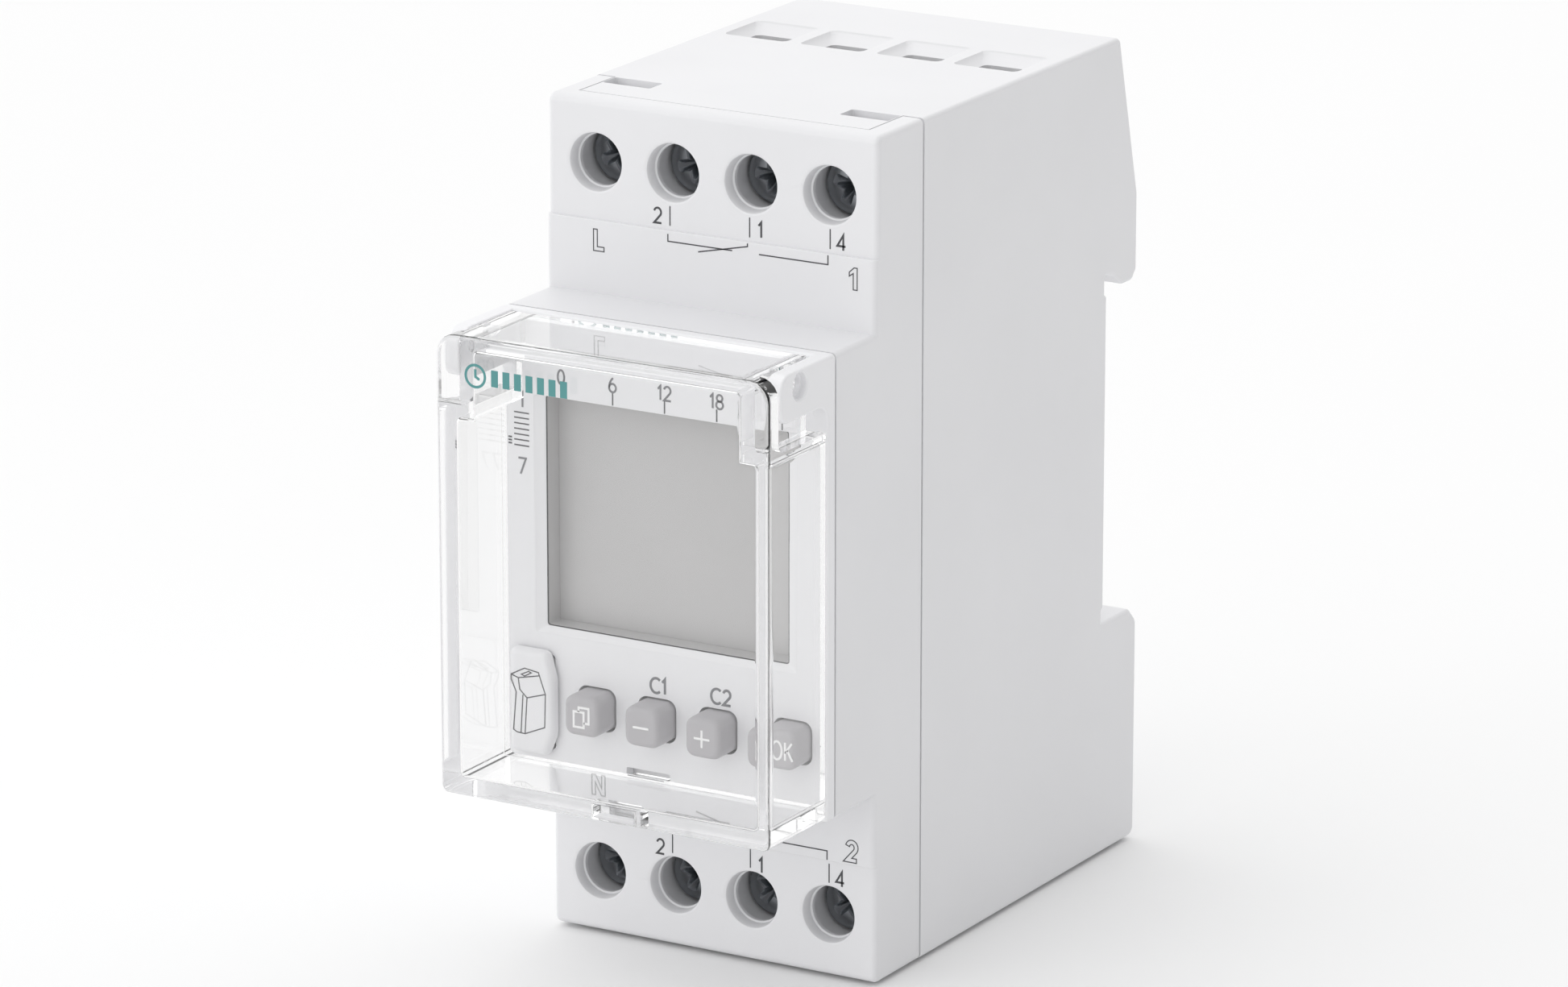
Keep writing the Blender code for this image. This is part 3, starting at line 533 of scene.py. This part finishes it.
def display_bezel():
    """A plate with rolled edges, a plug and a collar behind it and two ears before it, cut for the
    window, the keys, the data key, the hood's latch and its pivots. The pivot bore is one turned
    profile, from countersink to countersink."""
    bezel = solid(
        "display_bezel_moulding",
        block((-HALF_WIDTH, HALF_WIDTH), (FACE, -53.1), (-HALF_NOSE, HALF_NOSE), 0.5, "y", (0.3, 0.0)),
    )
    plug = block((-15.8, 15.8), (-53.6, -52.5), (-20.4, 20.4))
    collar = block((-13.85, 13.85), (-52.9, -51.95), (-9.2, 15.9))
    ear = [
        (-53.5, HALF_NOSE), (-62.9, HALF_NOSE), (-62.9, 17.9),
        (FACE, 17.9), (FACE, 15.6), (-53.5, 15.6),
    ]
    ears = [bar(ear, (0, 1.5, 1.3, 1.6, 0, 0), x, "x", (0.25, 0.25)) for x in mirrored((16.2, HALF_WIDTH))]
    work(bezel, [plug, collar] + ears, "UNION")
    work(bezel, [display_window()])
    through = (-56, -50)
    tall = (KEY_ROW - 2.15, KEY_ROW + 2.15)
    key_holes = [block((x - 2.1, x + 2.1), through, tall, 1.0) for x in KEYS.values()]
    work(bezel, key_holes)
    data_key_hole = block((-15.4, -11.4), through, (-19.9, -10.5), 0.4)
    latch_hole = block((-3.6, 1.2), through, (-21.95, -20.3), 0.15)
    sink = [(17.25, 1.0), (17.3, 1.25), (17.75, 1.3), (HALF_WIDTH, 1.45), (18.1, 1.5)]
    bore = [(-x, radius) for x, radius in reversed(sink)] + sink
    pivot_bore = turned(bore, (0, *HINGE[1:]), "x", 40)
    work(bezel, [data_key_hole, latch_hole, pivot_bore])
    return fitted(bezel, "housing", brightened_bezel_white, "display_bezel")


def hood():
    """A clear box open at the back: a rolled front, thin walls, sides that step inwards beside the
    ears, pivot stubs, a latch tongue and a seal slot."""
    outline = rectangle((-HALF_WIDTH, HALF_WIDTH), (-22.3, HALF_NOSE))
    box = bar(outline, (0.8, 0.8, 2.0, 2.0), (HOOD_FRONT, -54.75), "y", (0.45, 0.12))
    made = solid("hood_moulding", box)
    lower_cavity = block((-16.3, 16.3), (-63.6, -50), (-20.8, 14.4), 0.6, "y", (0.35, 0))
    upper_cavity = block((-14.4, 14.4), (-63.6, -50), (10.0, 21.0), 0.6, "y", (0.35, 0))
    work(made, [lower_cavity, upper_cavity])
    ear = rectangle((-63.35, -50), (15.4, 24))
    ear_recesses = [bar(ear, (0.9, 0, 0, 0), x) for x in mirrored((15.9, 19))]
    back_edge = block((-17, 17), (-55.0, -50), (14.5, 24))
    work(made, ear_recesses + [back_edge])
    stubs = [
        turned([(side * 15.5, 0.85), (side * 16.75, 0.85), (side * 16.85, 0.7)], (0, *HINGE[1:]), "x", 32)
        for side in (1, -1)
    ]
    tongue = block((-3.2, 0.8), (-55.4, -53.4), (-21.5, -21.05), 0.1)
    work(made, stubs + [tongue], "UNION")
    seal_slot = block((-1.7, 3.2), (-64.0, -62.2), (-24, -20.9), 0.3, "z")
    work(made, [seal_slot])
    return fitted(made, "hood", clear, "hood")


def data_key_cover():
    """A pad with a bowed right side over a plug that fills the opening."""
    left, right, low, high = -15.95, -10.9, -20.4, -10.0
    corners = [
        (left, low), (right - 0.9, low), (right, -18.2),
        (right, -12.6), (right - 0.7, high), (left, high),
    ]
    radii = (0.8, 0.8, 3.0, 3.0, 0.8, 0.8)
    pad = bar(corners, radii, (DATA_KEY_FRONT, -54.6), "y", (0.75, 0.1))
    cover = solid("data_key_cover_moulding", pad)
    plug = block((-15.15, -11.7), (-54.8, -52.2), (-19.6, -10.8), 0.4)
    work(cover, [plug], "UNION")
    return fitted(cover, "data_key_cover", brightened_bezel_white, "data_key_cover")


def keys():
    """Rubber keys: rounded squares, their front edge rolled over, on a flange behind the bezel."""
    for name, x in KEYS.items():
        outline = rectangle((x - 1.9, x + 1.9), (KEY_ROW - 1.95, KEY_ROW + 1.95))
        key = solid(name + "_cap", bar(outline, 0.95, (KEY_FRONT, -51.8), "y", (0.6, 0.0)))
        flange = block((x - 2.4, x + 2.4), (-52.2, -51.5), (KEY_ROW - 2.4, KEY_ROW + 2.4), 0.8)
        work(key, [flange], "UNION")
        fitted(key, name, silicone, name, 50)


# Terminals


def screws():
    """A pan head whose rim rolls over in a quarter circle of 0.5 mm, with a cross recess, on a shank
    whose radius goes to and fro by 0.1 mm every 0.3 mm, as a thread of 0.6 mm pitch does. Each screw is
    turned differently."""
    head, tip = (corner[1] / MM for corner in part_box("terminal_screw_upper_1"))
    quarter = np.linspace(0, np.pi / 2, 5)
    rim = [(head + 0.5 * (1 - np.sin(a)), 2.25 + 0.5 * np.cos(a)) for a in quarter[::-1]]
    along = np.arange(head + 2.6, tip - 0.3, 0.3)
    thread = list(zip(along, 1.6 + 0.1 * (np.arange(len(along)) % 2)))
    profile = rim + [(head + 2.5, 2.75), (head + 2.5, 1.6)] + thread + [(tip, 1.2)]
    for number, (x, z) in enumerate(TERMINALS):
        row, i = divmod(number, 4)
        name = f"terminal_screw_{('upper', 'lower')[row]}_{i + 1}"
        screw = solid(name + "_turned", turned(profile, (x, 0, z), around=40))
        turn = 0.5 + 1.3 * i + row
        work(screw, [cross_arm(x, z, head, turn), cross_arm(x, z, head, turn + np.pi / 2)])
        fitted(screw, name, zinc, name, 40)


def cross_arm(x, z, head, turn):
    """One arm of the recess: a rounded slot turned about the screw's axis, which narrows with depth."""
    steps = [  # depth, half length, half width
        (-0.3, 2.0, 0.75),
        (0.0, 1.85, 0.6),
        (0.3, 1.6, 0.36),
        (1.4, 0.7, 0.2),
    ]
    c, s = np.cos(turn), np.sin(turn)
    rings = []
    for depth, long, wide in steps:
        points = rounded(rectangle((-long, long), (-wide, wide)), wide * 0.6, steps=4)
        flat = points @ np.array([[c, s], [-s, c]]) + np.array([x, z])
        rings.append(place(flat, head + depth, "y"))
    return lofted(np.array(rings))


def latch_spring():
    """A strip of spring steel that waves from side to side between the post and the latch: its x is
    1.35 mm times the cosine of two full turns over its height, which stops short of its ends by a little
    slack."""
    slack = 0.1
    (_, near, low), (_, far, high) = np.array(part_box("latch_spring")) / MM
    t = np.linspace(0, 1, 81)
    path = np.stack([1.35 * np.cos(4 * np.pi * t), low + slack / 2 + (high - low - slack) * t], -1)
    spring = solid("latch_spring_strip", strip(path, 0.4, far, far - near))
    fitted(spring, "housing", spring_steel, "latch_spring")
    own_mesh(spring)


# Print


def strip(points, width, face, depth=0.02):
    """A printed line as a thin closed solid that stands proud of the face by the depth: the path's
    points moved half the width to each side along the mean normal of its runs. A path that ends where
    it starts closes on itself."""
    p = np.asarray(points, float)
    run = np.diff(p, axis=0)
    run /= np.linalg.norm(run, axis=1)[:, None]
    closed = np.allclose(p[0], p[-1])
    before = np.vstack([run[-1:] if closed else run[:1], run])
    after = np.vstack([run, run[:1] if closed else run[-1:]])
    mean = before + after
    mean /= np.linalg.norm(mean, axis=1)[:, None]
    side = np.stack([-mean[:, 1], mean[:, 0]], 1)
    half = width / 2 / np.maximum((mean * before).sum(1), 0.3)[:, None]
    near, far = p + side * half, p - side * half
    n = len(p)
    flat = np.vstack([near, far])
    points = np.vstack([place(flat, face - depth, "y"), place(flat, face, "y")])
    k = np.arange(n - 1)
    top = np.stack([k, k + 1, k + 1 + n, k + n], -1)
    rim = np.concatenate([
        np.stack([k, k + 1, k + 1 + 2 * n, k + 2 * n], -1),
        np.stack([k + n, k + 1 + n, k + 1 + 3 * n, k + 3 * n], -1),
    ])
    ends = [] if closed else [[0, n, 3 * n, 2 * n], [n - 1, 2 * n - 1, 4 * n - 1, 3 * n - 1]]
    return points, np.concatenate([top, top + 2 * n, rim]).tolist() + ends


def print_lines(name, paths, width, face, stuff, body="housing"):
    """Several printed lines as one piece."""
    points, faces = [], []
    for path in paths:
        more_points, more_faces = strip(path, width, face)
        start = sum(map(len, points))
        points.append(more_points)
        faces += [[start + k for k in corners] for corners in more_faces]
    return fitted(solid(name, (np.vstack(points), faces)), body, stuff)


def arc(centre, radii, start, end, count=17):
    """Points on an ellipse from one angle to another, in degrees."""
    angle = np.radians(np.linspace(start, end, count))
    return np.asarray(centre) + np.stack([np.cos(angle), np.sin(angle)], -1) * np.asarray(radii)


def strokes(sign):
    """The strokes of a sign whose height is 1, and its width."""
    bowl = arc((0.29, 0.71), (0.26, 0.29), 165, -38)
    return {
        "0": ([arc((0.28, 0.5), (0.26, 0.5), 90, 450, 33)], 0.56),
        "1": ([[(0.0, 0.76), (0.2, 1.0), (0.2, 0.0)]], 0.26),
        "2": ([np.vstack([bowl, [(0.03, 0.0), (0.57, 0.0)]])], 0.58),
        "4": ([[(0.44, 0.0), (0.44, 1.0), (0.0, 0.27), (0.6, 0.27)]], 0.6),
        "6": (
            [arc((0.62, 0.3), (0.6, 0.8), 118, 180, 9), arc((0.29, 0.3), (0.27, 0.3), 90, 450, 33)],
            0.58,
        ),
        "7": ([[(0.02, 1.0), (0.55, 1.0), (0.17, 0.0)]], 0.56),
        "8": (
            [arc((0.29, 0.76), (0.22, 0.24), -90, 270, 29), arc((0.29, 0.27), (0.27, 0.27), 90, 450, 33)],
            0.58,
        ),
        "C": ([arc((0.46, 0.5), (0.42, 0.5), 48, 312, 25)], 0.78),
        "K": ([[(0.05, 0.0), (0.05, 1.0)], [(0.55, 1.0), (0.07, 0.4)], [(0.22, 0.59), (0.6, 0.0)]], 0.6),
        "O": ([arc((0.4, 0.5), (0.36, 0.5), 90, 450, 33)], 0.8),
    }[sign]


def lettering(text, centre, height, space=0.2, slim=1.0):
    """The strokes of a short text, as wide as its signs and their spaces, centred on (x, z)."""
    signs = [strokes(sign) for sign in text]
    wide = np.array([w for _, w in signs])
    start = np.concatenate([[0], np.cumsum(wide + space)[:-1]]) - (wide.sum() + space * (len(text) - 1)) / 2
    move = np.asarray(centre, float)
    return [
        (np.asarray(path) + (left, -0.5)) * (height * slim, height) + move
        for (paths, _), left in zip(signs, start)
        for path in paths
    ]


def contour(path, width):
    """The closed outline of a stroke of that width."""
    flat, _ = strip(path, width, 0)
    near, far = np.split(flat[: len(flat) // 2, [0, 2]], 2)
    ring = np.vstack([near, far[::-1]])
    return np.vstack([ring, ring[:1]])


def dial_print():
    """The hour scale above the glass, the weekday scale beside it and the key labels."""
    middle, spacing = 0.75, 5.64
    hours = middle + spacing * np.arange(-2, 3)
    digits = []
    for label, x in zip(("0", "6", "12", "18", "24"), hours):
        digits += lettering(label, (x, 16.8), 1.35)
    print_lines("hour_digits", digits, 0.2, FACE, pale_ink)
    print_lines("hour_ticks", [[(x, WINDOW_TOP + 0.1), (x, 16.05)] for x in hours], 0.14, FACE, ink)
    days = lettering("1", (-14.9, 14.0), 1.4) + lettering("7", (-14.9, 7.55), 1.55)
    print_lines("weekday_digits", days, 0.2, FACE, pale_ink)
    rows = np.linspace(12.75, 9.55, 7)
    print_lines("weekday_bars", [[(-15.75, z), (-14.1, z)] for z in rows], 0.13, FACE, ink)
    flags = [[(-16.4, z), (-16.0, z)] for z in (9.65, 9.95, 10.25)]
    print_lines("weekday_mark", flags, 0.16, FACE, ink)
    labels = lettering("C1", (-0.1, -11.75), 1.45, 0.14) + lettering("C2", (6.75, -11.75), 1.45, 0.14)
    print_lines("key_labels", labels, 0.25, FACE, pale_ink)


def key_print():
    """White legends on the keys: two sheets, a minus, a plus and OK."""
    x, z = KEYS["key_menu"], KEY_ROW
    sheet = rectangle((x - 0.75, x + 0.35), (z - 1.0, z + 0.5))
    behind = [
        (x - 0.2, z + 0.5), (x - 0.2, z + 0.95), (x + 0.9, z + 0.95),
        (x + 0.9, z - 0.55), (x + 0.35, z - 0.55),
    ]
    x_minus, x_plus = KEYS["key_minus"], KEYS["key_plus"]
    legends = {
        "key_menu": [sheet + sheet[:1], behind],
        "key_minus": [[(x_minus - 0.85, z), (x_minus + 0.85, z)]],
        "key_plus": [
            [(x_plus - 0.85, z), (x_plus + 0.85, z)],
            [(x_plus, z - 0.85), (x_plus, z - 0.1)],
            [(x_plus, z + 0.1), (x_plus, z + 0.85)],
        ],
        "key_ok": lettering("OK", (KEYS["key_ok"] + 0.6, z), 1.75, 0.16, 0.82),
    }
    for key, paths in legends.items():
        print_lines("legend_" + key, paths, 0.22, KEY_FRONT, legend_white, key)


def data_key_print():
    """A plain drawing of a data key: a tall block with a slanted front and a small socket in its top."""
    drawing = [
        [(-1.73, -3.05), (-1.5, -0.45), (-1.4, 0.75), (-1.95, 1.9), (-1.95, 2.4), (-0.45, 3.2), (1.1, 3.0),
         (1.2, 2.7), (1.85, 0.95), (1.75, -2.35), (-0.45, -3.3), (-1.35, -3.25), (-1.73, -3.05)],
        [(-1.95, 2.4), (-1.15, 2.15), (1.2, 2.7)],
        [(-1.15, 2.15), (-1.0, 1.03), (-0.2, 0.3), (1.85, 0.95)],
        [(-0.2, 0.3), (-0.45, -3.3)],
        [(-0.65, 0.55), (-0.9, -3.3)],
        [(-0.8, 2.55), (0.0, 2.95), (0.3, 2.85), (-0.45, 2.42), (-0.8, 2.55)],
    ]
    placed = [np.array(path) + (-13.65, KEY_ROW) for path in drawing]
    print_lines("data_key_drawing", placed, 0.11, DATA_KEY_FRONT, ink, "data_key_cover")


def terminal_print():
    """The wiring plan of each row: contact numbers, leads, a changeover and the large labels."""
    for row, label, further in ((1, "upper", 0.0), (-1, "lower", 0.6)):
        leads = [[(x, row * 30.0), (x, row * 31.9)] for x in (-4.5, 4.15, 12.8)]
        print_lines(label + "_leads", leads, 0.12, SHOULDER, ink)
        plan = [
            [(-4.5, 29.3), (-4.5, 28.6), (2.5, 28.6)],
            [(4.15, 29.5), (4.15, 29.2), (-1.2, 28.0)],
            [(5.4, 28.6), (12.8, 28.6), (12.8, 29.5)],
        ]
        plan = [np.array(path) * (1, row) for path in plan]
        print_lines(label + "_changeover", plan, 0.12, SHOULDER_STEP, ink)
        contacts = []
        for text, x, z in (("2", -5.85, 30.85), ("1", 5.3, 30.85), ("4", 14.0, 30.75)):
            contacts += lettering(text, (x, row * (z + further)), 1.45)
        print_lines(label + "_contacts", contacts, 0.2, SHOULDER, ink)
    letter_l = [(0, 0), (0, 1), (0.2, 1), (0.2, 0.2), (0.55, 0.2), (0.55, 0), (0, 0)]
    figure_one = [(0.2, 0), (0.2, 0.74), (0, 0.6), (0, 0.78), (0.24, 1), (0.4, 1), (0.4, 0), (0.2, 0)]
    letter_n = [
        (0, 0), (0, 1), (0.2, 1), (0.52, 0.36), (0.52, 1), (0.7, 1),
        (0.7, 0), (0.5, 0), (0.18, 0.64), (0.18, 0), (0, 0),
    ]
    labels = ((letter_l, (-12.1, 27.7)), (figure_one, (15.5, 27.6)), (letter_n, (-12.1, -27.2)))
    outlines = [(np.array(shape) - (np.max(shape, 0) / 2)) * 2.1 + centre for shape, centre in labels]
    outlines += [contour(path, 0.42) for path in lettering("2", (15.5, -28.2), 1.8)]
    print_lines("large_labels", outlines, 0.1, SHOULDER_STEP, ink)


def hood_print():
    """A generic mark on the hood: a clock face and seven day blocks."""
    clock = [arc((-13.5, 18.9), (1.05, 1.05), 0, 360, 41), [(-13.5, 19.55), (-13.5, 18.85), (-13.05, 18.6)]]
    print_lines("clock_mark", clock, 0.26, HOOD_FRONT, teal_ink, "hood")
    days = [[(x, 18.1), (x, 19.7)] for x in -11.4 + 1.25 * np.arange(7)]
    print_lines("day_blocks", days, 0.75, HOOD_FRONT, teal_ink, "hood")


rear_housing()
front_cover()
display_bezel()
window_lining()
hood()
data_key_cover()
keys()
screws()
latch_spring()
dial_print()
key_print()
data_key_print()
terminal_print()
hood_print()


# Camera, floor and light


def camera():
    """A long lens 0.77 m from the object, 30 degrees to its right and 16 degrees above it."""
    turn, rise = math.radians(30.35), math.radians(16.18)
    back = Vector((math.sin(turn) * math.cos(rise), -math.cos(turn) * math.cos(rise), math.sin(rise)))
    right = (-back).cross(Vector((0, 0, 1))).normalized()
    up = right.cross(-back)
    lens = bpy.data.cameras.new("camera")
    lens.sensor_width = 36.0
    lens.lens = 183.9
    made = bpy.data.objects.new("camera", lens)
    axes = Matrix((right, up, back)).transposed().to_4x4()
    distance, middle = 0.772, Vector((0, -0.0252, 0))
    stand = back * distance + right * -0.00333 + up * -0.00041 + middle
    made.matrix_world = Matrix.Translation(stand) @ axes
    bpy.context.scene.collection.objects.link(made)
    bpy.context.scene.camera = made


def floor():
    """A plain white sweep just under the object: a flat grid of five by five points, 6 m wide."""
    gap = 0.0004
    low = cad_box[0][2] - gap
    side = np.linspace(-3, 3, 5)
    x, y = np.meshgrid(side, side, indexing="ij")
    points = np.stack([x, y, np.full_like(x, low)], -1).reshape(-1, 3)
    i, j = np.meshgrid(np.arange(4), np.arange(4), indexing="ij")
    a = (i * 5 + j).reshape(-1)
    mesh = bpy.data.meshes.new("floor")
    mesh.from_pydata(points.tolist(), [], np.stack([a, a + 5, a + 6, a + 1], -1).tolist())
    stuff = finish_of("white_paper_sweep", "#f7f7f7", "#f5f5f5", 3.0, 0.01, (0.8, 0.9), 200)
    mesh.materials.append(stuff)
    made = bpy.data.objects.new("floor", mesh)
    bpy.context.scene.collection.objects.link(made)


def lamp(name, stand, size, power):
    """A square softbox that faces the object."""
    data = bpy.data.lights.new(name, "AREA")
    data.shape = "SQUARE"
    data.size = size
    data.energy = power
    made = bpy.data.objects.new(name, data)
    made.location = stand
    away = Vector(stand) - Vector((0, -0.02, 0))
    made.rotation_euler = away.to_track_quat("Z", "Y").to_euler()
    bpy.context.scene.collection.objects.link(made)


def light():
    """A white studio tent, brighter overhead and darker on the right, with two soft lamps for the
    glints. A light path may bounce often enough to leave the clear hood again."""
    world = bpy.data.worlds.new("studio")
    bpy.context.scene.world = world
    world.use_nodes = True
    tree = world.node_tree
    way = add(tree, "TexCoord").outputs["Generated"]
    split = add(tree, "SeparateXYZ", Vector=way)
    right = ramp(tree, split.outputs["X"], 0.0, -0.76)
    above = ramp(tree, split.outputs["Z"], 1.1, 1.2)
    total = add(tree, "Math", {"operation": "ADD"})
    tree.links.new(right, total.inputs[0])
    tree.links.new(above, total.inputs[1])
    tree.links.new(total.outputs[0], tree.nodes["Background"].inputs["Strength"])
    tree.nodes["Background"].inputs["Color"].default_value = (1, 1, 1, 1)
    lamp("top_softbox", (-0.1, 0.1, 1.2), 1.6, 1.2)
    lamp("front_softbox", (-0.7, -1.1, 0.35), 0.5, 0.8)
    bpy.context.scene.view_settings.view_transform = "Standard"
    paths = bpy.context.scene.cycles
    paths.max_bounces = 24
    paths.glossy_bounces = 16
    paths.transmission_bounces = 24
    paths.transparent_max_bounces = 24


camera()
floor()
light()
